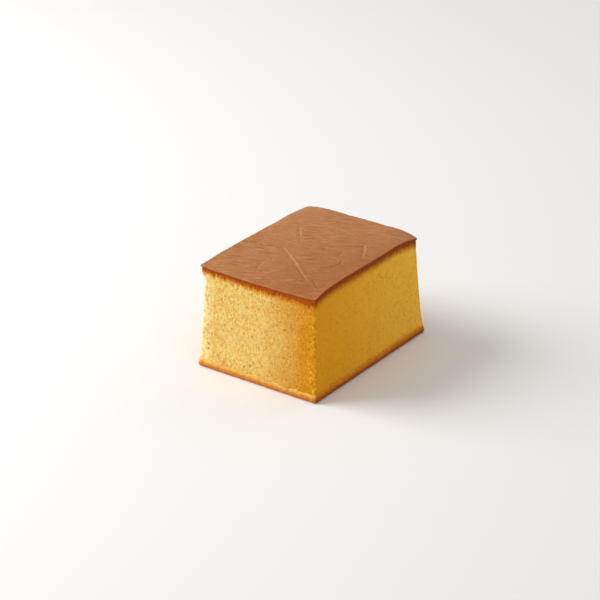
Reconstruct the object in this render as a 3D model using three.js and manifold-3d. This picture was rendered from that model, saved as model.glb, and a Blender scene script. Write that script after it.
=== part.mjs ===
// Castella sponge cake: one block cut from a longer loaf, standing on its baked bottom.
// Units are millimetres, +Z is up, X runs across the loaf and Y along it.
// The origin is the middle of the flat bottom. The block is one closed solid.
import * as THREE from 'three';
import Module from 'manifold-3d';

const wasm = await Module();
wasm.setup();

// Sizes of the block
const TOP_WIDTH = 70.7;
const TOP_LENGTH = 91;
const CORNER_HEIGHT = { frontLeft: 56.4, frontRight: 56.3, backLeft: 53.7, backRight: 55.7 };

// How much higher the top stands between its corners: the crust is a low, uneven dome that dips at the front
const RISE = { left: 1.9, right: 3, front: -1.4, back: 2.6 };
const MIDDLE_SETTLES = 0.5;
const DOME_POWER = 6;
const LEFT_CORNERS_LIFT = { front: -0.6, back: 0.9 };

// The sides lean out towards the bottom, each by its own amount
const FLARE = { left: 1, right: 2.7, front: 4.5, back: 4.4 };
const FLARE_CURVE = 0.45;

// Under the crust the crumb has shrunk back, most along the loaf's own sides
const WAIST = { left: 0.8, right: 0.8, front: 0.1, back: 0.2 };
const WAIST_START = 1.6;
const WAIST_FADE = 27;

// Hand-cut plan: wider at the back than at the front, shorter at the right than at the left
const BACK_WIDER = 0.6;
const RIGHT_SHORTER = 0.7;
const CORNER_RADIUS = 1.1;

// The crust's front left corner sticks out: how far to the left and the front, and down to what depth
const LIP = { left: 2.3, front: 0.4, power: 9, depth: 3.6, end: 7.5 };

// Browned skin on top, and the thicker browned band at the bottom
const SKIN_THICKNESS = 1.2;
const SKIN_ROUNDING = 0.35;
const SKIN_LIP = 0.7;
const BOTTOM_BAND = 3.8;
const BAND_BULGE = 0.7;
const FOOT_INSET = 0.8;

// Slow unevenness of the faces, and lumps on the bottom band: height and spacing
const SWELL = { height: 0.28, spacing: 17 };
const LUMP = { height: 0.55, spacing: 3.4 };
const NOISE_SEED = 5.3;

// Mesh spacing: faces along each side of the plan, and up the crumb to a level below the crust
const FACES_ACROSS = 28;
const FACES_ALONG = 36;
const FACES_UP = 6;
const CRUMB_TOP = 6;

// Creases that the lining paper pressed into the crust: their run in plan, depth and width
const CREASES = [
  { depth: 0.50, width: 2.6, run: [[-16.1, -5.4], [-2.6, -15.3], [10.2, -25.1], [22.3, -34.1]] },
  { depth: 0.40, width: 2.2, run: [[-21.6, 19.1], [-15.4, 11.1], [-8.8, 2.2]] },
  { depth: 0.35, width: 1.8, run: [[-39, -16], [-33, -12.3], [-28.9, -10.4], [-21.8, -9.9], [-17, -8]] },
  { depth: 0.42, width: 2.0, run: [[22.3, -4.5], [23.5, -9.1], [21.9, -13.2], [18.2, -17.5]] },
  { depth: 0.38, width: 1.8, run: [[16.4, 5.3], [17.6, 0.2], [17.3, -2.7]] },
  { depth: 0.48, width: 2.3, run: [[21.1, 17.5], [25.4, 10.2], [29.3, 2.8]] },
  { depth: 0.35, width: 1.8, run: [[-6.7, 24.8], [1, 24.7], [10.3, 22.1], [18.7, 21.1]] },
  { depth: 0.35, width: 1.6, run: [[29.4, 14.1], [32.2, 15.3], [33.4, 16.2]] },
  { depth: 0.35, width: 1.8, run: [[-7.4, -21.5], [-9.6, -24.6], [-9, -30], [-6.6, -37.9]] },
];
const CREASE_STEPS = 9;
const CUTTER_TOP = 0.8;

const CRUST_BROWN = 0xb4784a;

const clamp = (value, low, high) => Math.min(high, Math.max(low, value));
const mix = (a, b, share) => a + (b - a) * share;

// Repeatable random number from -1 to 1 at a whole-number place
function placeRandom(i, j, k) {
  const wave = Math.sin(i * 127.1 + j * 311.7 + k * 74.7 + NOISE_SEED) * 43758.5453;
  return 2 * (wave - Math.floor(wave)) - 1;
}

// Smooth random field from -1 to 1 that varies over the given spacing
function field(x, y, z, spacing) {
  const place = [x, y, z].map((value) => value / spacing);
  const cell = place.map(Math.floor);
  const share = place.map((value, n) => THREE.MathUtils.smoothstep(value - cell[n], 0, 1));
  const along = (j, k) => mix(
    placeRandom(cell[0], cell[1] + j, cell[2] + k),
    placeRandom(cell[0] + 1, cell[1] + j, cell[2] + k),
    share[0],
  );
  return mix(mix(along(0, 0), along(1, 0), share[1]), mix(along(0, 1), along(1, 1), share[1]), share[2]);
}

// Height of the top at a place given as shares of the half width and half length, from -1 to 1
function topHeight(u, v) {
  const [a, b] = [clamp(u, -1, 1), clamp(v, -1, 1)];
  const archAcross = 1 - Math.abs(a) ** DOME_POWER;
  const archAlong = 1 - Math.abs(b) ** DOME_POWER;
  const sides = mix(RISE.left, RISE.right, (a + 1) / 2) * archAlong;
  const ends = mix(RISE.front, RISE.back, (b + 1) / 2) * archAcross;
  const swell = SWELL.height * field(a * TOP_WIDTH / 2, b * TOP_LENGTH / 2, 0, SWELL.spacing);
  const frontCorners = mix(CORNER_HEIGHT.frontLeft, CORNER_HEIGHT.frontRight, (a + 1) / 2);
  const backCorners = mix(CORNER_HEIGHT.backLeft, CORNER_HEIGHT.backRight, (a + 1) / 2);
  const corners = mix(frontCorners, backCorners, (b + 1) / 2);
  const nearLeftCorner = Math.abs(Math.min(a, 0) * b) ** DOME_POWER;
  const cornerLift = LEFT_CORNERS_LIFT[b < 0 ? 'front' : 'back'] * nearLeftCorner;
  return corners + sides + ends + cornerLift - MIDDLE_SETTLES * archAcross * archAlong + swell;
}

// How far a side stands out from the top's edge at a depth below the top, from 0 to 1 of the way down
function lean(depthShare, flare) {
  return flare * mix(depthShare, depthShare ** 3, FLARE_CURVE);
}

// The dip just under the crust, which fades out downwards
function waist(depth, amount) {
  return amount * THREE.MathUtils.smoothstep(depth, 0, WAIST_START) * Math.exp(-((depth / WAIST_FADE) ** 2));
}

// Plan place of a point: u and v are shares of the half sizes, depth is in mm below the top
function planPlace(u, v, depth, outset) {
  const standOut = (side) => lean(depth / topHeight(u, v), FLARE[side]) - waist(depth, WAIST[side]) + outset;
  const nearCorner = (Math.max(-u, 0) * Math.max(-v, 0)) ** LIP.power;
  const lip = nearCorner * (1 - THREE.MathUtils.smoothstep(depth, LIP.depth, LIP.end));
  const halfX = TOP_WIDTH / 2 + BACK_WIDER * v + standOut(u < 0 ? 'left' : 'right') + LIP.left * lip;
  const halfY = TOP_LENGTH / 2 - RIGHT_SHORTER * u + standOut(v < 0 ? 'front' : 'back') + LIP.front * lip;
  const [x, y] = roundCorner(Math.abs(u) * halfX, Math.abs(v) * halfY, halfX, halfY);
  return [Math.sign(u) * x, Math.sign(v) * y];
}

// Bends the square corner of the plan into an arc
function roundCorner(x, y, halfX, halfY) {
  const a = (x - halfX + CORNER_RADIUS) / CORNER_RADIUS;
  const b = (y - halfY + CORNER_RADIUS) / CORNER_RADIUS;
  if (a <= 0 || b <= 0) return [x, y];
  return [
    halfX - CORNER_RADIUS * (1 - a * Math.sqrt(1 - b * b / 2)),
    halfY - CORNER_RADIUS * (1 - b * Math.sqrt(1 - a * a / 2)),
  ];
}

// Shares from -1 to 1 with extra steps in the corners' arcs
function gridShares(half, faces) {
  const arc = CORNER_RADIUS / half;
  const flat = Array.from({ length: faces - 3 }, (_, n) => mix(-1 + arc, 1 - arc, n / (faces - 4)));
  return [-1, -1 + arc / 2, ...flat, 1 - arc / 2, 1];
}

// Levels of the side from the bottom up. Each gives a height from the local height of the top,
// how far it stands out, and how lumpy it is
function sideLevels() {
  const band = [
    { z: () => 0, outset: BAND_BULGE - FOOT_INSET, lumps: 0.3 },
    { z: () => BOTTOM_BAND * 0.25, outset: BAND_BULGE * 0.8, lumps: 0.8 },
    { z: () => BOTTOM_BAND * 0.6, outset: BAND_BULGE, lumps: 1 },
    { z: () => BOTTOM_BAND, outset: BAND_BULGE * 0.45, lumps: 0.7 },
    { z: () => BOTTOM_BAND * 1.35, outset: 0, lumps: 0.2 },
  ];
  const crumb = Array.from({ length: FACES_UP }, (_, n) => ({
    z: (top) => mix(BOTTOM_BAND * 1.35, top - CRUMB_TOP, (n + 1) / FACES_UP),
    outset: 0,
    lumps: 0,
  }));
  const skin = [
    { z: (top) => top - SKIN_THICKNESS * 2.4, outset: 0, lumps: 0 },
    { z: (top) => top - SKIN_THICKNESS * 1.2, outset: 0, lumps: 0 },
    { z: (top) => top - SKIN_THICKNESS, outset: SKIN_LIP, lumps: 0 },
    { z: (top) => top - SKIN_ROUNDING, outset: 0, lumps: 0 },
  ];
  return [...band, ...crumb, ...skin];
}

// The block: a grid over the top, levels of points down the sides and a flat bottom
function blockGeometry() {
  const across = gridShares(TOP_WIDTH / 2, FACES_ACROSS);
  const along = gridShares(TOP_LENGTH / 2, FACES_ALONG);
  const points = [];
  const triangles = [];
  const quad = (a, b, c, d) => triangles.push(a, b, c, a, c, d);

  // The bottom's middle, then the levels of the sides, each a ring of the same places
  const ring = [
    ...across.slice(0, -1).map((u) => [u, -1]),
    ...along.slice(0, -1).map((v) => [1, v]),
    ...across.slice(1).reverse().map((u) => [u, 1]),
    ...along.slice(1).reverse().map((v) => [-1, v]),
  ];
  points.push([0, 0, 0]);
  const levels = sideLevels();
  for (const level of levels) {
    for (const [u, v] of ring) {
      const top = topHeight(u, v);
      const z = level.z(top);
      const [roughX, roughY] = [u * TOP_WIDTH / 2, v * TOP_LENGTH / 2];
      const swell = SWELL.height * field(roughX, roughY, z + 100, SWELL.spacing);
      const lump = LUMP.height * level.lumps * field(roughX, roughY, z * 1.7, LUMP.spacing);
      points.push([...planPlace(u, v, top - z, level.outset + swell + lump), z]);
    }
  }
  const ringPoint = (level, n) => 1 + level * ring.length + (n % ring.length);

  // The top's grid, whose outer places follow the same ring
  const gridStart = points.length;
  for (const v of along) {
    for (const u of across) {
      points.push([...planPlace(u, v, 0, -SKIN_ROUNDING), topHeight(u, v)]);
    }
  }
  const gridPoint = (i, j) => gridStart + j * across.length + i;
  const gridRing = [
    ...across.slice(0, -1).map((_, i) => gridPoint(i, 0)),
    ...along.slice(0, -1).map((_, j) => gridPoint(across.length - 1, j)),
    ...across.slice(1).map((_, i) => gridPoint(across.length - 1 - i, along.length - 1)),
    ...along.slice(1).map((_, j) => gridPoint(0, along.length - 1 - j)),
  ];

  for (let n = 0; n < ring.length; n += 1) {
    triangles.push(0, ringPoint(0, n + 1), ringPoint(0, n));
    for (let level = 0; level < levels.length - 1; level += 1) {
      const above = level + 1;
      quad(ringPoint(level, n), ringPoint(level, n + 1), ringPoint(above, n + 1), ringPoint(above, n));
    }
    const last = levels.length - 1;
    quad(ringPoint(last, n), ringPoint(last, n + 1), gridRing[(n + 1) % ring.length], gridRing[n]);
  }
  for (let j = 0; j < along.length - 1; j += 1) {
    for (let i = 0; i < across.length - 1; i += 1) {
      quad(gridPoint(i, j), gridPoint(i + 1, j), gridPoint(i + 1, j + 1), gridPoint(i, j + 1));
    }
  }
  return indexed(points.flat(), triangles);
}

// The cutter of one crease: its groove follows the dome, is steeper on one side and tapers at both ends
function creaseCutter({ depth, width, run }) {
  const curve = new THREE.CatmullRomCurve3(run.map(([x, y]) => new THREE.Vector3(x, y, 0)));
  const groove = [[0.5, 0], [0, -0.85], [-0.25, -1], [-0.5, 0]];
  const points = [];
  const triangles = [];
  for (let step = 0; step <= CREASE_STEPS; step += 1) {
    const share = step / CREASE_STEPS;
    const centre = curve.getPointAt(share);
    const tangent = curve.getTangentAt(share);
    const swelling = Math.sqrt(Math.sin(Math.PI * mix(0.04, 0.96, share)));
    const place = (side, height) => {
      const x = centre.x - tangent.y * side * width * swelling;
      const y = centre.y + tangent.x * side * width * swelling;
      points.push(x, y, topHeight(2 * x / TOP_WIDTH, 2 * y / TOP_LENGTH) + height);
    };
    place(-0.5, CUTTER_TOP);
    place(0.5, CUTTER_TOP);
    groove.forEach(([side, drop]) => place(side, drop * depth * swelling));
  }
  const count = groove.length + 2;
  for (let step = 0; step < CREASE_STEPS; step += 1) {
    for (let n = 0; n < count; n += 1) {
      const [a, b] = [step * count + n, step * count + (n + 1) % count];
      triangles.push(a, a + count, b + count, a, b + count, b);
    }
  }
  const last = CREASE_STEPS * count;
  for (let n = 1; n < count - 1; n += 1) {
    triangles.push(0, n, n + 1, last, last + n + 1, last + n);
  }
  return indexed(points, triangles);
}

function indexed(points, triangles) {
  const geometry = new THREE.BufferGeometry();
  geometry.setAttribute('position', new THREE.Float32BufferAttribute(points, 3));
  geometry.setIndex(triangles);
  return geometry;
}

function toManifold(geometry) {
  return new wasm.Manifold(new wasm.Mesh({
    numProp: 3,
    vertProperties: new Float32Array(geometry.attributes.position.array),
    triVerts: new Uint32Array(geometry.index.array),
  }));
}

function toGeometry(manifold) {
  const mesh = manifold.getMesh();
  return indexed(Array.from(mesh.vertProperties), Array.from(mesh.triVerts));
}

// Cuts the creases into the block and puts the origin in the middle of its bottom
let solid = toManifold(blockGeometry());
for (const crease of CREASES) {
  solid = solid.subtract(toManifold(creaseCutter(crease)));
}
const cakeGeometry = toGeometry(solid);
cakeGeometry.computeBoundingBox();
const { min, max } = cakeGeometry.boundingBox;
cakeGeometry.translate(-(min.x + max.x) / 2, -(min.y + max.y) / 2, -min.z);
cakeGeometry.computeVertexNormals();

const cake = new THREE.Mesh(
  cakeGeometry,
  new THREE.MeshStandardMaterial({ color: CRUST_BROWN, roughness: 0.6, metalness: 0 }),
);
cake.name = 'castella_block';

const castella = new THREE.Group();
castella.add(cake);

export default castella;
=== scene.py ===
"""Castella sponge cake: a block cut from a loaf, with a browned top, an open crumb and a browned base."""

import math

import bpy
import numpy as np
from mathutils import Matrix, Vector


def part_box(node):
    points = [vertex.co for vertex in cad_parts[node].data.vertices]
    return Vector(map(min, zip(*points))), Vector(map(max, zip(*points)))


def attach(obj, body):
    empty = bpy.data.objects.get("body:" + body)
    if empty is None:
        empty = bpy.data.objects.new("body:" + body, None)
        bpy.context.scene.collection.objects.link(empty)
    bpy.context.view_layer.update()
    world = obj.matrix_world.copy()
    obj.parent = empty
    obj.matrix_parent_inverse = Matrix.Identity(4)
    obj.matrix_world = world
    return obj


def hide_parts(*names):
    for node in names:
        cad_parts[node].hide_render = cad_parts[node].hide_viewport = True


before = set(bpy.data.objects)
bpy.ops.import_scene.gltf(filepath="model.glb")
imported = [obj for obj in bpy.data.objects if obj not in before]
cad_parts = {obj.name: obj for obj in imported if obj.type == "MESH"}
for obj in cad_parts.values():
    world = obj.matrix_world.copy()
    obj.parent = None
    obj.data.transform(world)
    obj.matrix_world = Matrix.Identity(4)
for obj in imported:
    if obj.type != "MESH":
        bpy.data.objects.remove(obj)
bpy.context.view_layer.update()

BODY = "root"
CAKE_NODE = "castella_block"
MM = 0.001
NOISE_GAIN = 3.2

# The block's form, lengths in millimetres: its top, the dome over it, how its sides lean out and draw in,
# and the lip at its front left corner
TOP_WIDTH = 70.7
TOP_LENGTH = 91
STRAIGHT_HEIGHT = 55
FRONT_LEFT_HEIGHT, FRONT_RIGHT_HEIGHT = 56.4, 56.3
BACK_LEFT_HEIGHT, BACK_RIGHT_HEIGHT = 53.7, 55.7
RISE_LEFT, RISE_RIGHT = 1.9, 3.0
RISE_FRONT, RISE_BACK = -1.4, 2.6
MIDDLE_SETTLES = 0.5
DOME_POWER = 6
FRONT_LEFT_LIFT, BACK_LEFT_LIFT = -0.6, 0.9
FLARE_LEFT, FLARE_RIGHT = 1.0, 2.7
FLARE_FRONT, FLARE_BACK = 4.5, 4.4
FLARE_CURVE = 0.45
WAIST_LEFT, WAIST_RIGHT = 0.8, 0.8
WAIST_FRONT, WAIST_BACK = 0.1, 0.2
WAIST_START = 1.6
WAIST_FADE = 27
BACK_WIDER = 0.6
RIGHT_SHORTER = 0.7
CORNER_RADIUS = 1.1
LIP_LEFT, LIP_FRONT = 2.3, 0.4
LIP_POWER = 9
LIP_DEPTH, LIP_END = 3.6, 7.5
SWELL_HEIGHT, SWELL_SPACING = 0.28, 17

# How softly a cut face goes over into the loaf's own side, by the direction of its surface
CUT_BLEND = 0.3

# Skin on top and browned band at the bottom, as steps of a rim: how far out, and how far down or up
SKIN_INSET = 0.35
SKIN_RIM = ((0.14, 0.03), (0.27, 0.11), (0.37, 0.24), (0.5, 0.42), (0.66, 0.62), (0.72, 0.82), (0.6, 0.98),
            (0.2, 1.18), (-0.9, 1.7))
BAND_INSET = 0.5
BAND_RIM = ((0.22, 0.12), (0.45, 0.35), (0.72, 0.7), (0.92, 1.1), (1.05, 1.5), (1.1, 1.9), (1.08, 2.3),
            (1.0, 2.7), (0.88, 3.1), (0.74, 3.5), (0.58, 3.9), (0.4, 4.3), (0.2, 4.6), (-0.3, 4.8))
SKIN_FACES = (256, 326)
BAND_FACES = (170, 216)

# The crumb's foot and top, and how far its hidden top sinks inside its edge
CRUMB_FOOT = 2.6
CRUMB_TOP = STRAIGHT_HEIGHT - 0.85
TOP_EDGE_WIDTH = 0.9
TOP_SINKS = 0.6

# How the crumb's sides are divided: the parts of each long edge, by axis and in two rounds. An edge is long
# over LONG_EDGE millimetres, and runs along an axis when it reaches STRAIGHT_EDGE times as far that way as
# any other. A face looks up when its normal does by more than FACES_UP.
SIDE_PARTS = ((2, (10, 12)), (0, (13, 13)), (1, (15, 15)))
LONG_EDGE = 1.5
STRAIGHT_EDGE = 5
CORNER_FACES = 3
FACES_UP = 0.5

# Bubbles cut open, in millimetres: spacing, smallest and largest radius, share of them that is kept, depth,
# and the pattern's shift. BUBBLE_FLOOR is the flat share of their radius. On the loaf's own sides only the
# share SIDE_PITS of their depth is left.
BUBBLES = (
    (3.3, 0.45, 1.1, 0.5, 0.4, (0, 0, 0)),
    (1.9, 0.35, 0.8, 1.0, 0.26, (7.3, 1.9, 4.4)),
    (1.25, 0.25, 0.55, 1.0, 0.16, (2.2, 8.1, 5.7)),
)
BUBBLE_FLOOR = 0.35
SIDE_PITS = 0.35

# Unevenness in millimetres: each pattern's spacing and height. A span says where a pattern starts and where
# it is full, as a depth under the top, or for the band as a height over the bottom.
CRUMB_WAVE, CRUMB_WAVE_HEIGHT = 9.0, 0.18
CRUMB_ROUGH, CRUMB_ROUGH_HEIGHT = 1.3, 0.08
FRAY, FRAY_HEIGHT, FRAY_SPAN = 1.2, 0.14, (5.5, 1.5)
SKIN_LUMP, SKIN_LUMP_HEIGHT = 6.5, 0.1
RAGGED, RAGGED_HEIGHT, RAGGED_SPAN = 1.3, 0.12, (0.3, 0.9)
WRINKLE_HEIGHT, WRINKLE_SPAN = 0.26, (0.6, 0.1)
SKIN_SINKS = 0.1
BAND_LUMP, BAND_LUMP_HEIGHT = 3.4, 0.3
BAND_GRAIN, BAND_GRAIN_HEIGHT = 1.3, 0.16
BAND_PIT, BAND_PIT_RADII, BAND_PIT_DEPTH = 1.9, (0.4, 0.9), 0.3
BAND_SPAN = (0.0, 1.0)

# Wrinkles in the skin, the last of them the deep lines: slant in degrees, length and width. They bend in
# waves and stand in patches, and outside those the fine ones keep the share FINE_OUTSIDE.
WRINKLES = ((24, 8.0, 1.2), (-4, 5.5, 0.9), (30, 11.0, 1.7))
WRINKLE_BEND, WRINKLE_BEND_SIZE = 15, 2.2
WRINKLE_PATCH, PATCH_SPAN = 13, (-0.9, 0.7)
FINE_SHARES = (0.7, 0.4)
FINE_OUTSIDE = 0.3
DEEP_SPAN, DEEP_SHARE = (0.75, 1.35), 0.9

# Creases in the skin: depth, width, tone (over 0 for a painted highlight along it, under 0 for painted shade
# in it) and run in plan
CREASES = (
    (0.50, 3.3, 0.6, ((-16.1, -5.4), (-2.1, -15.3), (10.8, -25.1), (22.6, -34.3))),
    (0.46, 3.1, 0.6, ((-21.6, 19.1), (-15.4, 11.1), (-8.8, 2.2))),
    (0.46, 2.4, -0.6, ((-41.0, -17.2), (-33.2, -12.5), (-28.9, -10.4), (-21.8, -9.9), (-13.6, -6.8))),
    (0.40, 2.8, 0.4, ((18.2, -17.5), (21.9, -13.2), (23.5, -9.1), (22.3, -4.5))),
    (0.40, 2.6, 0.6, ((16.4, 5.3), (17.6, 0.2), (17.3, -2.7))),
    (0.55, 3.2, 0.8, ((21.1, 17.5), (25.4, 10.2), (29.3, 2.8))),
    (0.34, 2.4, 0.3, ((-6.7, 24.8), (1.0, 24.7), (10.3, 22.1), (18.7, 21.1))),
    (0.36, 1.8, -0.8, ((29.4, 14.1), (32.2, 15.3), (33.6, 16.3))),
    (0.34, 3.0, 0.6, ((-3.6, -18.6), (-8.6, -21.4), (-11.4, -25.6), (-10.8, -31.2), (-8.4, -36.6))),
    (0.26, 1.4, -0.8, ((-15.7, -27.1), (-13.3, -26.7), (-10.8, -26.5))),
    (0.24, 1.3, -0.8, ((-13.7, -29.6), (-11.7, -29.0), (-9.7, -28.2))),
    (0.26, 1.8, -0.6, ((0.2, -1.0), (7.0, 1.8), (13.3, 4.8))),
    (0.24, 1.6, -0.6, ((-2.5, -12.1), (3.0, -10.2), (9.5, -8.8))),
    (0.28, 1.9, -0.6, ((20.1, -28.5), (25.0, -32.4), (30.2, -36.8))),
    (0.26, 1.7, -0.7, ((9.4, -32.1), (15.3, -33.5), (21.3, -35.8))),
    (0.24, 1.6, -0.6, ((-17.4, 18.4), (-13.8, 16.9), (-10.3, 15.6))),
    (0.26, 1.6, -0.8, ((-20.3, -19.9), (-15.9, -17.6), (-12.2, -15.9))),
    (0.26, 1.6, -0.7, ((4.8, -14.0), (10.4, -10.8), (17.2, -7.9))),
)
CREASE_PIECES = 24
STEEP_SIDE = 1.7
GENTLE_SIDE = 0.9
CREASE_TIP = 0.02
CREASE_WANDER = 0.22

# The photograph's view: where the camera stands and its lens in millimetres, its heading in degrees, and
# how near and far it sees in metres
CAMERA_PLACE = (617.44, -870.8, 566.0)
CAMERA_AZIMUTH = 35.7
CAMERA_ELEVATION = 26.76
CAMERA_LENS = 138.0
CAMERA_SENSOR = 36.0
CAMERA_NEAR, CAMERA_FAR = 0.05, 20

# Soft lights: name, direction, distance and size in metres, power in watts, and colour. They face the middle
# of the cake, and the floor's size is in metres too.
LIGHTS = (
    ("window", (-0.8, -0.38, 0.62), 1.1, 0.7, 12.6, (1.0, 0.98, 0.95)),
    ("fill", (0.9, -0.5, 0.45), 1.4, 1.0, 2.3, (1.0, 0.88, 0.68)),
    ("back_fill", (0.25, 0.9, 0.5), 1.6, 1.3, 4.5, (1.0, 0.9, 0.74)),
)
LIGHT_TARGET = (0, 0, 0.03)
SKY_STRENGTH = 0.53
FLOOR_SIZE = 24

# Where colours change, in millimetres. The first four spans run across the cut faces, and SIDE_SPAN along
# the loaf's sides. The others are depths under the top or heights over the bottom, and NARROWER is how much
# nearer the top a zone starts on a cut face.
# The first span is partly painted light: the cut faces grow paler toward the lit left and deeper toward the
# right as painted shade.
PALE_AND_PAINTED_LIGHT_SPAN = (33, -3)
# The second places painted light in a strip along the left edge of the cut faces.
PAINTED_LIGHT_LEFT_SPAN = (-27, -34)
# The third places a painted highlight near the right edge of the cut faces.
RIGHT_HIGHLIGHT_SPAN = (27, 36)
RIGHT_TOAST_SPAN = (22, 34)
SIDE_SPAN = (-60, 50)
TOAST_SPAN, TOAST_NARROWER = (7.6, 3.2), 1.2
SCORCH_SPAN, SCORCH_NARROWER = (4.5, 2.3), 0.5
FOOT_SPAN = (6.0, 3.6)
RIM_SPAN = (0.08, 0.36)
BASE_SPAN = (1.6, 4.4)
UNDER_SPAN = (0.35, 0.05)


def tint(red, green, blue):
    """A screen colour, given from 0 to 255, as Blender's linear colour."""
    shares = [value / 255 for value in (red, green, blue)]
    linear = [s / 12.92 if s < 0.04045 else ((s + 0.055) / 1.055) ** 2.4 for s in shares]
    return (*linear, 1.0)


# Colours of the crumb. SIDE is for the loaf's own sides, and CUT for the faces cut across it. Some are
# painted light: the lit strip at the left edge, the highlight on the corners, and the shade in pores and
# bubbles.
PALE_CRUMB, DEEP_CRUMB = tint(237, 203, 118), tint(208, 132, 4)
PAINTED_LIGHT_CRUMB = tint(255, 238, 170)
SIDE_CRUMB_FRONT, SIDE_CRUMB_BACK = tint(220, 150, 14), tint(248, 190, 66)
BLOTCH = tint(220, 148, 16)
PALE_CELL, DEEP_CELL = tint(252, 228, 140), tint(240, 186, 44)
PAINTED_PORE_SHADE = tint(180, 108, 8)
PAINTED_PIT_SHADE = tint(200, 126, 8)
PAINTED_HIGHLIGHT = tint(255, 218, 84)
TOAST_SIDE, TOAST_CUT = tint(172, 92, 12), tint(206, 124, 12)
SCORCH_SIDE, SCORCH_CUT = tint(148, 63, 14), tint(172, 80, 10)
FOOT = tint(196, 112, 26)

# Colours of the skin. The wrinkle and crease colours paint highlight and shade into the skin.
SKIN_PALE, SKIN_DARK = tint(184, 128, 77), tint(162, 96, 42)
SKIN_MOTTLE = tint(156, 88, 38)
WRINKLE_HIGHLIGHT, WRINKLE_SHADE = tint(216, 158, 108), tint(132, 70, 26)
CREASE_HIGHLIGHT, CREASE_SHADE = tint(214, 156, 106), tint(140, 76, 32)
RIM_SIDE, RIM_CUT = tint(154, 66, 14), tint(154, 68, 12)
CHARRED = tint(104, 36, 10)

# Colours of the browned base
UPPER_SIDE, UPPER_CUT = tint(214, 138, 30), tint(240, 196, 96)
LOWER_SIDE, LOWER_CUT = tint(160, 76, 20), tint(206, 124, 44)
BASE_SPECKLE = tint(146, 70, 14)
UNDERSIDE = tint(150, 84, 40)

FLOOR_COLOR = tint(236, 237, 240)
SKY_COLOR = tint(244, 243, 240)


class Wire:
    """A node's output. Arithmetic on it adds Math nodes to the same tree."""

    def __init__(self, bench, socket):
        self.bench = bench
        self.socket = socket

    def output(self, name):
        """Another output of the same node."""
        return Wire(self.bench, self.socket.node.outputs[name])

    def math(self, operation, *others):
        """One Math node, with this value first."""
        return self.bench.math(operation, self, *others)

    def __add__(self, other):
        return self.math("ADD", other)

    __radd__ = __add__

    def __sub__(self, other):
        return self.math("SUBTRACT", other)

    def __rsub__(self, other):
        return self.bench.math("SUBTRACT", other, self)

    def __mul__(self, other):
        return self.math("MULTIPLY", other)

    __rmul__ = __mul__

    def __truediv__(self, other):
        return self.math("DIVIDE", other)

    def __pow__(self, other):
        return self.math("POWER", other)

    def __abs__(self):
        return self.math("ABSOLUTE")

    def at_least(self, low):
        return self.math("MAXIMUM", low)

    def at_most(self, high):
        return self.math("MINIMUM", high)

    def above(self, level):
        """1 where the value is over the level and 0 elsewhere."""
        return self.math("GREATER_THAN", level)

    def step(self, low, high):
        """Rises smoothly from 0 at low to 1 at high. Low may be the larger, and it then falls."""
        settings = {"interpolation_type": "SMOOTHSTEP"}
        values = {"Value": self, "From Min": low, "From Max": high}
        return self.bench.node("ShaderNodeMapRange", settings, values)


class Bench:
    """Adds nodes to one node tree."""

    def __init__(self, tree):
        self.tree = tree

    def node(self, kind, settings=None, values=None, output=0):
        """Adds a node, sets it up, then fills its sockets with numbers or wires."""
        made = self.tree.nodes.new(kind)
        for name, value in (settings or {}).items():
            setattr(made, name, value)
        for name, value in (values or {}).items():
            if isinstance(value, Wire):
                self.tree.links.new(value.socket, made.inputs[name])
            else:
                made.inputs[name].default_value = value
        return Wire(self, made.outputs[output]) if made.outputs else None

    def math(self, operation, *values):
        return self.node("ShaderNodeMath", {"operation": operation}, dict(enumerate(values)))

    def vector(self, operation, *values, output="Vector"):
        return self.node("ShaderNodeVectorMath", {"operation": operation}, dict(enumerate(values)), output)

    def mix_color(self, share, first, second):
        """Goes from the first colour to the second as a share goes from 0 to 1."""
        # For colours the node reads its sockets 6 and 7, and answers on its output 2
        return self.node("ShaderNodeMix", {"data_type": "RGBA"}, {0: share, 6: first, 7: second}, output=2)

    def join(self, x, y, z):
        return self.node("ShaderNodeCombineXYZ", None, {"X": x, "Y": y, "Z": z})

    def split(self, vector):
        """The X, Y and Z of a vector."""
        x = self.node("ShaderNodeSeparateXYZ", None, {0: vector})
        return x, x.output("Y"), x.output("Z")

    def noise(self, place, spacing, detail=1.5, roughness=0.5, shift=0.0):
        """Smooth random value, mostly from -1 to 1, that varies over the spacing."""
        moved = self.vector("ADD", place, (shift, 2 * shift, 3 * shift))
        values = {"Vector": moved, "Scale": 1 / spacing, "Detail": detail, "Roughness": roughness}
        return (self.node("ShaderNodeTexNoise", None, values) - 0.5) * NOISE_GAIN

    def bubbles(self, place, spacing, smallest, largest, keep=1.0):
        """Round hollows with random sizes: 1 in the middle of each, falling to 0 at its edge."""
        distance = self.node("ShaderNodeTexVoronoi", None, {"Vector": place, "Scale": 1 / spacing})
        draw, luck, _ = self.split(distance.output("Color"))
        radius = between(smallest, largest, draw * draw)
        hollow = (distance * spacing / radius).step(1.0, BUBBLE_FLOOR)
        return hollow if keep >= 1 else hollow * luck.math("LESS_THAN", keep)


def between(first, second, share):
    """Goes from the first value to the second as a share goes from 0 to 1."""
    return first + (second - first) * share


def pick(piece, kind, chosen):
    """Selects some edges or faces of a piece and leaves it in edit mode."""
    bpy.context.view_layer.objects.active = piece
    bpy.ops.object.mode_set(mode="EDIT")
    bpy.ops.mesh.select_mode(type=kind)
    bpy.ops.mesh.select_all(action="DESELECT")
    bpy.ops.object.mode_set(mode="OBJECT")
    items = {"EDGE": piece.data.edges, "FACE": piece.data.polygons}[kind]
    items.foreach_set("select", chosen)
    bpy.ops.object.mode_set(mode="EDIT")


def mesh_points(piece):
    """The places of all points of a piece in metres, one row each."""
    places = np.zeros(len(piece.data.vertices) * 3)
    piece.data.vertices.foreach_get("co", places)
    return places.reshape(-1, 3)


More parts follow.
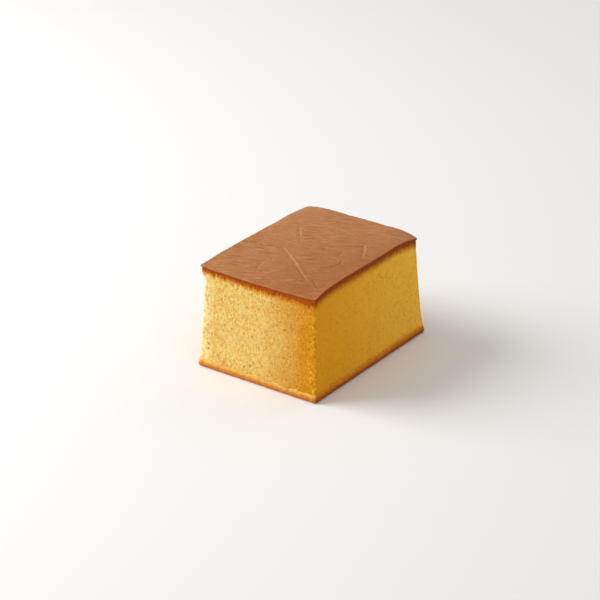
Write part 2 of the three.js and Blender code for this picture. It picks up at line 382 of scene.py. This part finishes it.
def edge_spans(piece):
    """Each edge's extent along X, Y and Z in metres."""
    places = mesh_points(piece)
    ends = np.zeros(len(piece.data.edges) * 2, int)
    piece.data.edges.foreach_get("vertices", ends)
    ends = ends.reshape(-1, 2)
    return np.abs(places[ends[:, 0]] - places[ends[:, 1]])


def divide_along(piece, axis, counts):
    """Divides every long edge that runs along an axis into parts, by each count in turn."""
    for count in counts:
        spans = edge_spans(piece)
        along = spans[:, axis]
        others = np.delete(spans, axis, axis=1).max(axis=1)
        pick(piece, "EDGE", (along > LONG_EDGE * MM) & (along > STRAIGHT_EDGE * others))
        bpy.ops.mesh.subdivide(number_cuts=count - 1)
        bpy.ops.object.mode_set(mode="OBJECT")


def start_piece(name, add, size, middle, **options):
    """Adds a primitive with a size and a middle in millimetres, both put in its mesh."""
    bpy.ops.object.select_all(action="DESELECT")
    add(size=1, **options)
    piece = bpy.context.object
    piece.name = name
    piece.data.name = name
    bpy.ops.transform.resize(value=[MM * value for value in size])
    bpy.ops.transform.translate(value=[MM * value for value in middle])
    bpy.ops.object.transform_apply(location=True, rotation=True, scale=True)
    return piece


def grow_rim(piece, rim, upwards):
    """Extrudes the border of a sheet through a rim's steps and closes the far side."""
    bpy.ops.object.mode_set(mode="EDIT")
    bpy.ops.mesh.select_mode(type="EDGE")
    bpy.ops.mesh.select_all(action="DESELECT")
    bpy.ops.mesh.select_non_manifold(extend=False)
    sheet = (piece.dimensions[0] / MM, piece.dimensions[1] / MM)
    out_before = along_before = 0
    for out, along in rim:
        move = (along - along_before) * MM * (1 if upwards else -1)
        grow = [(side + 2 * out) / (side + 2 * out_before) for side in sheet]
        bpy.ops.mesh.extrude_edges_move(TRANSFORM_OT_translate={"value": (0, 0, move)})
        bpy.ops.transform.resize(value=(*grow, 1), center_override=(0, 0, 0))
        out_before, along_before = out, along
    bpy.ops.mesh.edge_face_add()
    bpy.ops.mesh.select_all(action="SELECT")
    bpy.ops.mesh.normals_make_consistent(inside=False)
    bpy.ops.object.mode_set(mode="OBJECT")


def shape_with(piece, name, work):
    """Runs a node tree of shaping steps over a piece and applies it."""
    tree = bpy.data.node_groups.new(name, "GeometryNodeTree")
    for way in ("INPUT", "OUTPUT"):
        tree.interface.new_socket("Geometry", in_out=way, socket_type="NodeSocketGeometry")
    bench = Bench(tree)
    shaped = work(bench, bench.node("NodeGroupInput"))
    bench.node("NodeGroupOutput", None, {"Geometry": shaped})
    modifier = piece.modifiers.new(name, "NODES")
    modifier.node_group = tree
    bpy.ops.object.select_all(action="DESELECT")
    piece.select_set(True)
    bpy.context.view_layer.objects.active = piece
    bpy.ops.object.modifier_apply(modifier=name)
    bpy.data.node_groups.remove(tree)


def keep_value(bench, mesh, name, value):
    """Stores a value on the mesh's points under a name."""
    settings = {"data_type": "FLOAT", "domain": "POINT"}
    values = {"Geometry": mesh, "Name": name, "Value": value}
    return bench.node("GeometryNodeStoreNamedAttribute", settings, values)


def kept_value(bench, name):
    """A value that was stored on the mesh's points under a name."""
    return bench.node("GeometryNodeInputNamedAttribute", {"data_type": "FLOAT"}, {"Name": name})


def place_in_mm(bench):
    """Each point's place in millimetres."""
    return bench.vector("MULTIPLY", bench.node("GeometryNodeInputPosition"), (1 / MM,) * 3)


def put_points(bench, mesh, x, y, z):
    """Moves the mesh's points to places in millimetres."""
    place = bench.vector("MULTIPLY", bench.join(x, y, z), (MM,) * 3)
    return bench.node("GeometryNodeSetPosition", None, {"Geometry": mesh, "Position": place})


def top_height(bench, x, y, u, v):
    """Height of the top in millimetres, at a place that is u and v of the half width and half length."""
    across, along = (u + 1) / 2, (v + 1) / 2
    arch_across = 1 - abs(u) ** DOME_POWER
    arch_along = 1 - abs(v) ** DOME_POWER
    sides = between(RISE_LEFT, RISE_RIGHT, across) * arch_along
    ends = between(RISE_FRONT, RISE_BACK, along) * arch_across
    front = between(FRONT_LEFT_HEIGHT, FRONT_RIGHT_HEIGHT, across)
    back = between(BACK_LEFT_HEIGHT, BACK_RIGHT_HEIGHT, across)
    corners = between(front, back, along)
    swell = SWELL_HEIGHT * bench.noise(bench.join(x, y, 0), SWELL_SPACING, detail=0)
    lift = between(FRONT_LEFT_LIFT, BACK_LEFT_LIFT, v.above(0)) * abs(u.at_most(0) * v) ** DOME_POWER
    return corners + sides + ends + lift - MIDDLE_SETTLES * arch_across * arch_along + swell


def stand_out(share, depth, side, flares, waists):
    """How far a side stands out at a depth. The side is 0 for left or front and 1 for right or back."""
    flare = between(*flares, side)
    waist = between(*waists, side)
    lean = flare * (share + FLARE_CURVE * (share ** 3 - share))
    drawn_in = waist * depth.step(0, WAIST_START) * (0 - (depth / WAIST_FADE) ** 2).math("EXPONENT")
    return lean - drawn_in


def bend_to_form(bench, mesh):
    """Turns a straight block of the nominal size into the real, hand-cut and domed one."""
    x, y, z = bench.split(place_in_mm(bench))
    half_x, half_y = TOP_WIDTH / 2, TOP_LENGTH / 2
    u = (x / half_x).at_most(1).at_least(-1)
    v = (y / half_y).at_most(1).at_least(-1)
    top = top_height(bench, x, y, u, v)
    height = z * top / STRAIGHT_HEIGHT
    depth = (top - height).at_least(0)
    share = (depth / top).at_most(1)
    out_x = stand_out(share, depth, x.above(0), (FLARE_LEFT, FLARE_RIGHT), (WAIST_LEFT, WAIST_RIGHT))
    out_y = stand_out(share, depth, y.above(0), (FLARE_FRONT, FLARE_BACK), (WAIST_FRONT, WAIST_BACK))
    lip = ((0 - u).at_least(0) * (0 - v).at_least(0)) ** LIP_POWER * depth.step(LIP_END, LIP_DEPTH)
    new_x = x * (half_x + BACK_WIDER * v + out_x + LIP_LEFT * lip) / half_x
    new_y = y * (half_y - RIGHT_SHORTER * u + out_y + LIP_FRONT * lip) / half_y
    mesh = keep_value(bench, mesh, "depth", top - height)
    mesh = keep_value(bench, mesh, "height", height)
    normal_x, normal_y, _ = bench.split(bench.node("GeometryNodeInputNormal"))
    mesh = keep_value(bench, mesh, "cut_face", (abs(normal_y) - abs(normal_x)).step(-CUT_BLEND, CUT_BLEND))
    return put_points(bench, mesh, new_x, new_y, height)


def round_corners(bench, mesh):
    """Bends the square corners of a straight sheet's plan into arcs."""
    x, y, z = bench.split(place_in_mm(bench))
    into_x = ((abs(x) - TOP_WIDTH / 2) / CORNER_RADIUS + 1).at_least(0)
    into_y = ((abs(y) - TOP_LENGTH / 2) / CORNER_RADIUS + 1).at_least(0)
    slack_x = 1 - (1 - into_y.at_most(1) ** 2 / 2).math("SQRT")
    slack_y = 1 - (1 - into_x.at_most(1) ** 2 / 2).math("SQRT")
    new_x = x.math("SIGN") * (abs(x) - CORNER_RADIUS * into_x * slack_x)
    new_y = y.math("SIGN") * (abs(y) - CORNER_RADIUS * into_y * slack_y)
    return put_points(bench, mesh, new_x, new_y, z)


def push_out(bench, mesh, height):
    """Moves each point along its normal by a height in millimetres."""
    normal = bench.node("GeometryNodeInputNormal")
    lift = height * MM
    offset = bench.vector("MULTIPLY", normal, bench.join(lift, lift, lift))
    return bench.node("GeometryNodeSetPosition", None, {"Geometry": mesh, "Offset": offset})


def crumb_relief(bench, mesh):
    """Open bubbles, roughness and a frayed top, deeper on the faces cut across, and gentle waves."""
    place = place_in_mm(bench)
    cut_face = kept_value(bench, "cut_face")
    depth = kept_value(bench, "depth")
    hollows = 0
    for spacing, smallest, largest, keep, hollow_depth, shift in BUBBLES:
        moved = bench.vector("ADD", place, shift)
        hollows = hollows + hollow_depth * bench.bubbles(moved, spacing, smallest, largest, keep)
    pit = hollows * between(SIDE_PITS, 1, cut_face)
    fray = FRAY_HEIGHT * (1 + cut_face) * depth.step(*FRAY_SPAN)
    frayed = bench.noise(place, FRAY, detail=2) * fray
    wavy = bench.noise(place, CRUMB_WAVE, detail=2) * CRUMB_WAVE_HEIGHT
    rough = bench.noise(place, CRUMB_ROUGH, detail=2) * CRUMB_ROUGH_HEIGHT * (1 + cut_face)
    mesh = keep_value(bench, mesh, "pit", pit)
    return push_out(bench, mesh, wavy + rough + frayed - kept_value(bench, "pit"))


def curve_points(run, count):
    """Points at even steps along a smooth curve through a run."""
    run = np.array(run, float)
    ends = np.vstack((2 * run[0] - run[1], run, 2 * run[-1] - run[-2]))
    points = []
    for share in np.linspace(0, len(run) - 1, count + 1):
        n = min(int(share), len(run) - 2)
        t = share - n
        a, b, c, d = ends[n:n + 4]
        points.append(0.5 * (2 * b + (c - a) * t + (2 * a - 5 * b + 4 * c - d) * t ** 2
                             + (3 * b - a - 3 * c + d) * t ** 3))
    return np.array(points)


def crease_depths(plan, depth, width, run):
    """How deep one crease is at each point of the plan: steep on one side, and tapered at both ends."""
    points = curve_points(run, CREASE_PIECES)
    nearest = np.full(len(plan), np.inf)
    left_of = np.zeros(len(plan))
    share = np.zeros(len(plan))
    for n, (start, end) in enumerate(zip(points, points[1:])):
        span = end - start
        length = np.hypot(*span)
        reach = np.clip((plan - start) @ span / length ** 2, 0, 1)
        offset = plan - start - reach[:, None] * span
        distance = np.hypot(offset[:, 0], offset[:, 1])
        closer = distance < nearest
        nearest[closer] = distance[closer]
        left_of[closer] = (span[0] * offset[:, 1] - span[1] * offset[:, 0])[closer] > 0
        share[closer] = ((reach + n) / CREASE_PIECES)[closer]
    taper = np.sqrt(np.clip(4 * share * (1 - share), CREASE_TIP, 1))
    size = taper * (1 + CREASE_WANDER * np.sin(9 * share * len(run) + 5 * depth))
    spread = nearest * np.where(left_of > 0, STEEP_SIDE, GENTLE_SIDE) / (width / 2) / size
    wall = np.clip(1 - spread, 0, 1)
    return depth * size * wall * wall * (3 - 2 * wall)


def mark_creases(crust):
    """Stores on the skin's points how deep its creases are there, in millimetres, and their painted light:
    over 0 a painted highlight, under 0 painted shade.
    """
    plan = mesh_points(crust)[:, :2] / MM
    deepest = np.zeros(len(plan))
    painted_lights = np.zeros(len(plan))
    for depth, width, painted_light, run in CREASES:
        depths = crease_depths(plan, depth, width, run)
        deepest = np.maximum(deepest, depths)
        painted_lights += painted_light * depths
    for name, values in (("crease", deepest), ("crease_painted_light", painted_lights)):
        crust.data.attributes.new(name, "FLOAT", "POINT").data.foreach_set("value", values)


def skin_relief(bench, mesh):
    """Creases and fine wrinkles in the skin, and its slightly ragged rim."""
    place = place_in_mm(bench)
    x, y, _ = bench.split(place)
    plan = bench.join(x, y, 0)
    depth = kept_value(bench, "depth")
    flat = depth.step(*WRINKLE_SPAN)
    wrinkle = wrinkles(bench, plan)
    lumps = bench.noise(place, SKIN_LUMP, detail=2) * SKIN_LUMP_HEIGHT
    ragged = bench.noise(place, RAGGED, detail=2) * depth.step(*RAGGED_SPAN) * RAGGED_HEIGHT
    mesh = keep_value(bench, mesh, "wrinkle", wrinkle * flat)
    lines = WRINKLE_HEIGHT * kept_value(bench, "wrinkle") - kept_value(bench, "crease") * flat
    return push_out(bench, mesh, lumps + ragged + lines - SKIN_SINKS)


def wrinkles(bench, plan):
    """Fine wrinkles in patches, which run across the top at a slant, and some deeper lines, from -2 to 1."""
    bend = bench.noise(plan, WRINKLE_BEND) * WRINKLE_BEND_SIZE
    bent = bench.vector("ADD", plan, bench.join(0, bend, 0))
    patch = bench.noise(plan, WRINKLE_PATCH, detail=1, shift=6).step(*PATCH_SPAN)
    lines = []
    for slant, length, width in WRINKLES:
        turn = math.radians(slant)
        along = bench.vector("DOT_PRODUCT", bent, (math.cos(turn), math.sin(turn), 0), output="Value")
        across = bench.vector("DOT_PRODUCT", bent, (-math.sin(turn), math.cos(turn), 0), output="Value")
        lines.append(bench.noise(bench.join(along / length, across / width, 0), 1.0, detail=1.2))
    fine = lines[0] * FINE_SHARES[0] + lines[1] * FINE_SHARES[1]
    deep = lines[2].step(*DEEP_SPAN)
    return fine * between(FINE_OUTSIDE, 1, patch) - deep * DEEP_SHARE


def band_relief(bench, mesh):
    """Lumps of browned crumb round the base."""
    place = place_in_mm(bench)
    lumpy = kept_value(bench, "height").step(*BAND_SPAN)
    lumps = BAND_LUMP_HEIGHT * bench.noise(place, BAND_LUMP, detail=1)
    grain = BAND_GRAIN_HEIGHT * bench.noise(place, BAND_GRAIN, detail=1)
    pits = BAND_PIT_DEPTH * bench.bubbles(place, BAND_PIT, *BAND_PIT_RADII)
    return push_out(bench, mesh, (lumps + grain - pits) * lumpy)


def make_crumb():
    """The sponge: a box with rounded upright edges and a fine mesh on its four sides."""
    size = (TOP_WIDTH, TOP_LENGTH, CRUMB_TOP - CRUMB_FOOT)
    middle = (0, 0, (CRUMB_TOP + CRUMB_FOOT) / 2)
    crumb = start_piece("crumb", bpy.ops.mesh.primitive_cube_add, size, middle)
    pick(crumb, "EDGE", edge_spans(crumb)[:, 2] > LONG_EDGE * MM)
    bpy.ops.mesh.bevel(offset=CORNER_RADIUS * MM, segments=CORNER_FACES, affect="EDGES")
    bpy.ops.object.mode_set(mode="OBJECT")
    pick(crumb, "FACE", [abs(face.normal.z) > FACES_UP for face in crumb.data.polygons])
    bpy.ops.mesh.delete(type="ONLY_FACE")
    bpy.ops.object.mode_set(mode="OBJECT")
    for axis, counts in SIDE_PARTS:
        divide_along(crumb, axis, counts)
    bpy.ops.object.mode_set(mode="EDIT")
    bpy.ops.mesh.select_all(action="SELECT")
    bpy.ops.mesh.fill_holes(sides=0)
    bpy.ops.mesh.normals_make_consistent(inside=False)
    bpy.ops.object.mode_set(mode="OBJECT")
    pick(crumb, "FACE", [face.normal.z > FACES_UP for face in crumb.data.polygons])
    bpy.ops.mesh.inset(thickness=TOP_EDGE_WIDTH * MM, depth=-TOP_SINKS * MM)
    bpy.ops.object.mode_set(mode="OBJECT")
    shape_with(crumb, "form", bend_to_form)
    shape_with(crumb, "crumb_relief", crumb_relief)
    return crumb


def make_sheet(name, inset, height, faces, rim, upwards):
    """A sheet across the block at a height, with a rim, bent to the block's form."""
    size = (TOP_WIDTH - 2 * inset, TOP_LENGTH - 2 * inset, 1)
    sheet = start_piece(name, bpy.ops.mesh.primitive_grid_add, size, (0, 0, height),
                        x_subdivisions=faces[0], y_subdivisions=faces[1])
    grow_rim(sheet, rim, upwards)
    shape_with(sheet, "corners", round_corners)
    shape_with(sheet, "form", bend_to_form)
    return sheet


def make_top_crust():
    """The browned skin: a sheet with a thin rim that stands a little proud of the sponge."""
    crust = make_sheet("top_crust", SKIN_INSET, STRAIGHT_HEIGHT, SKIN_FACES, SKIN_RIM, upwards=False)
    mark_creases(crust)
    shape_with(crust, "skin_relief", skin_relief)
    return crust


def make_bottom_crust():
    """The browned base: a flat sheet with a lumpy rim that grows up round the sponge's foot."""
    crust = make_sheet("bottom_crust", BAND_INSET, 0, BAND_FACES, BAND_RIM, upwards=True)
    shape_with(crust, "band_relief", band_relief)
    return crust


def new_material(name):
    """A material with only a Principled shader, and its node bench."""
    material = bpy.data.materials.new(name)
    material.use_nodes = True
    material.node_tree.nodes.clear()
    return material, Bench(material.node_tree)


def finish_material(bench, **sockets):
    """Adds the shader, with its sockets' names written with underscores, and the output."""
    values = {name.replace("_", " "): value for name, value in sockets.items()}
    shader = bench.node("ShaderNodeBsdfPrincipled", None, values)
    bench.node("ShaderNodeOutputMaterial", None, {"Surface": shader})


def surface_value(bench, name):
    """A value that a piece's mesh carries."""
    return bench.node("ShaderNodeAttribute", {"attribute_name": name}, output="Fac")


def object_place(bench):
    """The place on the object in millimetres."""
    coordinates = bench.node("ShaderNodeTexCoord", output="Object")
    return bench.vector("MULTIPLY", coordinates, (1 / MM,) * 3)


def bump(bench, height, depth, strength=0.7):
    """A normal for shading, from a pattern of heights whose relief has a depth in millimetres."""
    values = {"Height": height, "Distance": depth * MM, "Strength": strength}
    return bench.node("ShaderNodeBump", None, values)


def crumb_material():
    """Golden sponge: pale and open where it is cut across, deeper along the sides, browned at the crust,
    with painted light across the cut faces, painted highlights on the corners and painted shade in pores and
    bubbles.
    """
    material, bench = new_material("golden_sponge")
    place = object_place(bench)
    x, y, z = bench.split(place)
    cut_face = surface_value(bench, "cut_face")
    depth = surface_value(bench, "depth")
    height = surface_value(bench, "height")
    pit = surface_value(bench, "pit")

    # Plain crumb, paler to the left across the cut faces: partly its own tone, partly painted light from the
    # left and painted shade toward the right
    paleness_and_painted_light = (x + bench.noise(place, spacing=14) * 5).step(*PALE_AND_PAINTED_LIGHT_SPAN)
    open_crumb = bench.mix_color(paleness_and_painted_light, DEEP_CRUMB, PALE_CRUMB)
    # Painted light: a paler strip along the left edge of the cut faces
    open_crumb = bench.mix_color(x.step(*PAINTED_LIGHT_LEFT_SPAN) * 0.8, open_crumb, PAINTED_LIGHT_CRUMB)
    side_crumb = bench.mix_color(y.step(*SIDE_SPAN), SIDE_CRUMB_FRONT, SIDE_CRUMB_BACK)
    color = bench.mix_color(cut_face, side_crumb, open_crumb)

    # Darker blotches and paler cells, and painted shade in small pores and in the open bubbles
    drawn = bench.join(x, y, z / 1.25)
    blotch = bench.noise(drawn, spacing=1.8, detail=3, roughness=0.65, shift=3) * 1.3 + 0.16
    blotch = blotch + bench.noise(place, spacing=6, shift=8) * 0.25
    color = bench.mix_color((blotch * (0.46 + 0.26 * cut_face)).at_least(0), color, BLOTCH)
    pale_cells = bench.noise(drawn, spacing=1.2, detail=3, roughness=0.65, shift=9) * 1.3 - 0.02
    pale_cell = bench.mix_color(paleness_and_painted_light, DEEP_CELL, PALE_CELL)
    color = bench.mix_color((pale_cells * (0.3 + 0.3 * cut_face)).at_least(0), color, pale_cell)
    # Small pores, dented by the bump below, with painted shade in them
    pore_place = bench.vector("ADD", place, (2.7, 5.1, 0.6))
    pores = bench.bubbles(pore_place, spacing=1.7, smallest=0.3, largest=0.7, keep=0.6)
    color = bench.mix_color(pores * (0.6 - 0.15 * cut_face), color, PAINTED_PORE_SHADE)
    # Painted shade in the open bubbles
    color = bench.mix_color((pit * 1.6).at_most(0.6), color, PAINTED_PIT_SHADE)

    # Painted highlight on the upright corners, and in patches near the right edge of the cut faces
    highlight_patches = bench.noise(place, spacing=1.6, detail=2, shift=7)
    corner = cut_face * (1 - cut_face) * (0.3 + highlight_patches * 1.6)
    corner = corner + cut_face * x.step(*RIGHT_HIGHLIGHT_SPAN) * (0.1 + highlight_patches * 0.9)
    color = bench.mix_color(corner.at_least(0), color, PAINTED_HIGHLIGHT)

    # Toasted and scorched under the crust, and browned at the foot
    streaks = bench.noise(bench.join(x, y, z / 4), spacing=0.8, detail=2, shift=2)
    wander = bench.noise(place, spacing=3.5, detail=2) * 0.6 + streaks * (0.7 + 0.5 * cut_face)
    reach = depth + wander + cut_face * (0.15 - x * 0.02 - x.step(*RIGHT_TOAST_SPAN))
    toasted = reach.step(TOAST_SPAN[0] - TOAST_NARROWER * cut_face, TOAST_SPAN[1])
    color = bench.mix_color(toasted, color, bench.mix_color(cut_face, TOAST_SIDE, TOAST_CUT))
    scorched = reach.step(SCORCH_SPAN[0] - SCORCH_NARROWER * cut_face, SCORCH_SPAN[1])
    color = bench.mix_color(scorched, color, bench.mix_color(cut_face, SCORCH_SIDE, SCORCH_CUT))
    lumps = bench.noise(place, spacing=1.5, detail=2, shift=6)
    foot = (height + wander * 0.6 + lumps * 1.5).step(*FOOT_SPAN)
    color = bench.mix_color(foot * (0.65 - 0.35 * cut_face), color, FOOT)

    tiny_place = bench.vector("ADD", place, (4.4, 0.3, 6.6))
    tiny = bench.bubbles(tiny_place, spacing=0.8, smallest=0.15, largest=0.38)
    bumps = bench.noise(place, spacing=0.5, detail=2) * 0.4 - tiny * 0.5 - pores * 0.6
    normal = bump(bench, bumps, depth=0.3, strength=1.0)
    finish_material(bench, Base_Color=color, Roughness=0.9, Normal=normal, Subsurface_Weight=0.15,
                    Subsurface_Radius=(1.0, 0.55, 0.2), Subsurface_Scale=1.3 * MM, Specular_IOR_Level=0.12)
    return material


def skin_material():
    """Thin browned skin: satin, with a dark baked edge, some painted sheen, and painted shade and highlights
    along its wrinkles and creases.
    """
    material, bench = new_material("browned_skin")
    place = object_place(bench)
    x, y, _ = bench.split(place)
    depth = surface_value(bench, "depth")
    wrinkle = surface_value(bench, "wrinkle")
    painted_light = surface_value(bench, "crease_painted_light")
    cut_face = surface_value(bench, "cut_face")

    # Skin, darker to the right and the front, partly from browning and partly as painted sheen that makes it
    # paler to the left and the back, with mottles, wrinkles and creases
    across_top = x * 0.009 - y * (x * 0.00018 + 0.005)
    browning_and_sheen = (across_top + bench.noise(place, spacing=20) * 0.2).step(-0.8, 0.8)
    color = bench.mix_color(browning_and_sheen, SKIN_PALE, SKIN_DARK)
    mottle = bench.noise(place, spacing=2.2, detail=2, shift=5)
    color = bench.mix_color((mottle * 0.3 + 0.08).at_least(0), color, SKIN_MOTTLE)
    # Painted shade in the wrinkles' hollows and painted highlight on their ridges
    color = bench.mix_color((0.08 - wrinkle * 0.75).at_least(0), color, WRINKLE_SHADE)
    color = bench.mix_color((wrinkle * 0.5 - 0.03).at_least(0), color, WRINKLE_HIGHLIGHT)
    # Painted highlight along paler creases and painted shade in darker ones
    color = bench.mix_color((painted_light * 0.6).at_least(0), color, CREASE_HIGHLIGHT)
    color = bench.mix_color((painted_light * -1.8).at_least(0), color, CREASE_SHADE)

    # Its baked rim
    side = (depth + bench.noise(place, spacing=1.5) * 0.06).step(*RIM_SPAN)
    rim = bench.mix_color(cut_face, RIM_SIDE, RIM_CUT)
    charred = bench.noise(place, spacing=1.2, detail=2, shift=1) * 0.7
    rim = bench.mix_color(charred.at_least(0), rim, CHARRED)
    color = bench.mix_color(side, color, rim)

    roughness = 0.5 + mottle * 0.05 + 0.3 * side
    fine = bench.noise(place, spacing=0.5, detail=2) * 0.5 + wrinkle * 0.3
    normal = bump(bench, fine, depth=0.07)
    finish_material(bench, Base_Color=color, Roughness=roughness, Normal=normal, Subsurface_Weight=0.08,
                    Subsurface_Radius=(1.0, 0.4, 0.15), Subsurface_Scale=0.8 * MM, Specular_IOR_Level=0.35)
    return material


def base_material():
    """Browned base: orange-brown lumps, darkest at the foot."""
    material, bench = new_material("browned_base")
    place = object_place(bench)
    height = surface_value(bench, "height")
    cut_face = surface_value(bench, "cut_face")
    wander = bench.noise(place, spacing=2.2, detail=2.5) * 0.6
    wander = wander + bench.noise(place, spacing=0.9, detail=2, shift=7) * 0.3
    upper = bench.mix_color(cut_face, UPPER_SIDE, UPPER_CUT)
    lower = bench.mix_color(cut_face, LOWER_SIDE, LOWER_CUT)
    color = bench.mix_color((height + wander).step(*BASE_SPAN), lower, upper)
    speckle = bench.noise(place, spacing=1.0, detail=2, shift=4)
    color = bench.mix_color((speckle * 0.3).at_least(0), color, BASE_SPECKLE)
    color = bench.mix_color(height.step(*UNDER_SPAN), color, UNDERSIDE)
    normal = bump(bench, bench.noise(place, spacing=0.5, detail=2), depth=0.15)
    finish_material(bench, Base_Color=color, Roughness=0.8, Normal=normal, Subsurface_Weight=0.15,
                    Subsurface_Radius=(1.0, 0.45, 0.15), Subsurface_Scale=1.5 * MM, Specular_IOR_Level=0.15)
    return material


def settle(pieces):
    """Moves the pieces together, to stand on the floor and be centred where the frame has the cake."""
    low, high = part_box(CAKE_NODE)
    corners = np.array([piece.matrix_world @ Vector(c) for piece in pieces for c in piece.bound_box])
    least, most = corners.min(axis=0), corners.max(axis=0)
    slide = [(low[axis] + high[axis] - least[axis] - most[axis]) / 2 for axis in (0, 1)]
    for piece in pieces:
        piece.data.transform(Matrix.Translation((*slide, -least[2])))


def make_cake():
    """All the pieces of the cake, each with its material and body, in place of the cake's node."""
    makers = (
        (make_crumb, crumb_material, "crumb"),
        (make_top_crust, skin_material, "crust"),
        (make_bottom_crust, base_material, "crust"),
    )
    pieces = []
    for make, material, slot in makers:
        piece = make()
        piece.data.materials.clear()
        piece.data.materials.append(material())
        bpy.ops.object.shade_smooth()
        pieces.append((piece, slot))
    bpy.context.view_layer.update()
    settle([piece for piece, _ in pieces])
    for piece, slot in pieces:
        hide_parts(CAKE_NODE)
        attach(piece, BODY)


def make_floor():
    """A plain pale floor."""
    bpy.ops.object.select_all(action="DESELECT")
    bpy.ops.mesh.primitive_plane_add(size=FLOOR_SIZE, location=(0, 0, 0))
    floor = bpy.context.object
    floor.name = "floor"
    material, bench = new_material("pale_floor")
    finish_material(bench, Base_Color=FLOOR_COLOR, Roughness=0.7, Specular_IOR_Level=0.2)
    floor.data.materials.append(material)


def add_light(name, direction, distance, size, power, color):
    """A square soft light that faces the cake from a direction."""
    toward = Vector(direction).normalized()
    data = bpy.data.lights.new(name, "AREA")
    data.shape = "SQUARE"
    data.size = size
    data.energy = power
    data.color = color
    light = bpy.data.objects.new(name, data)
    bpy.context.scene.collection.objects.link(light)
    light.location = Vector(LIGHT_TARGET) + toward * distance
    light.rotation_euler = (-toward).to_track_quat("-Z", "Y").to_euler()


def light_scene():
    """Soft daylight from the left, weak warm fills from the right and the back, and an even pale sky."""
    for light in LIGHTS:
        add_light(*light)
    world = bpy.data.worlds.new("sky")
    world.use_nodes = True
    sky = world.node_tree.nodes["Background"]
    sky.inputs["Color"].default_value = SKY_COLOR
    sky.inputs["Strength"].default_value = SKY_STRENGTH
    bpy.context.scene.world = world
    bpy.context.scene.view_settings.view_transform = "Standard"


def make_camera():
    """A camera at the photograph's angle, distance and lens."""
    data = bpy.data.cameras.new("camera")
    data.lens = CAMERA_LENS
    data.sensor_width = CAMERA_SENSOR
    data.clip_start = CAMERA_NEAR
    data.clip_end = CAMERA_FAR
    camera = bpy.data.objects.new("camera", data)
    bpy.context.scene.collection.objects.link(camera)
    camera.location = Vector(CAMERA_PLACE) * MM
    camera.rotation_euler = (math.radians(90 - CAMERA_ELEVATION), 0, math.radians(CAMERA_AZIMUTH))
    bpy.context.scene.camera = camera


make_camera()
make_cake()
make_floor()
light_scene()

bpy.context.view_layer.update()
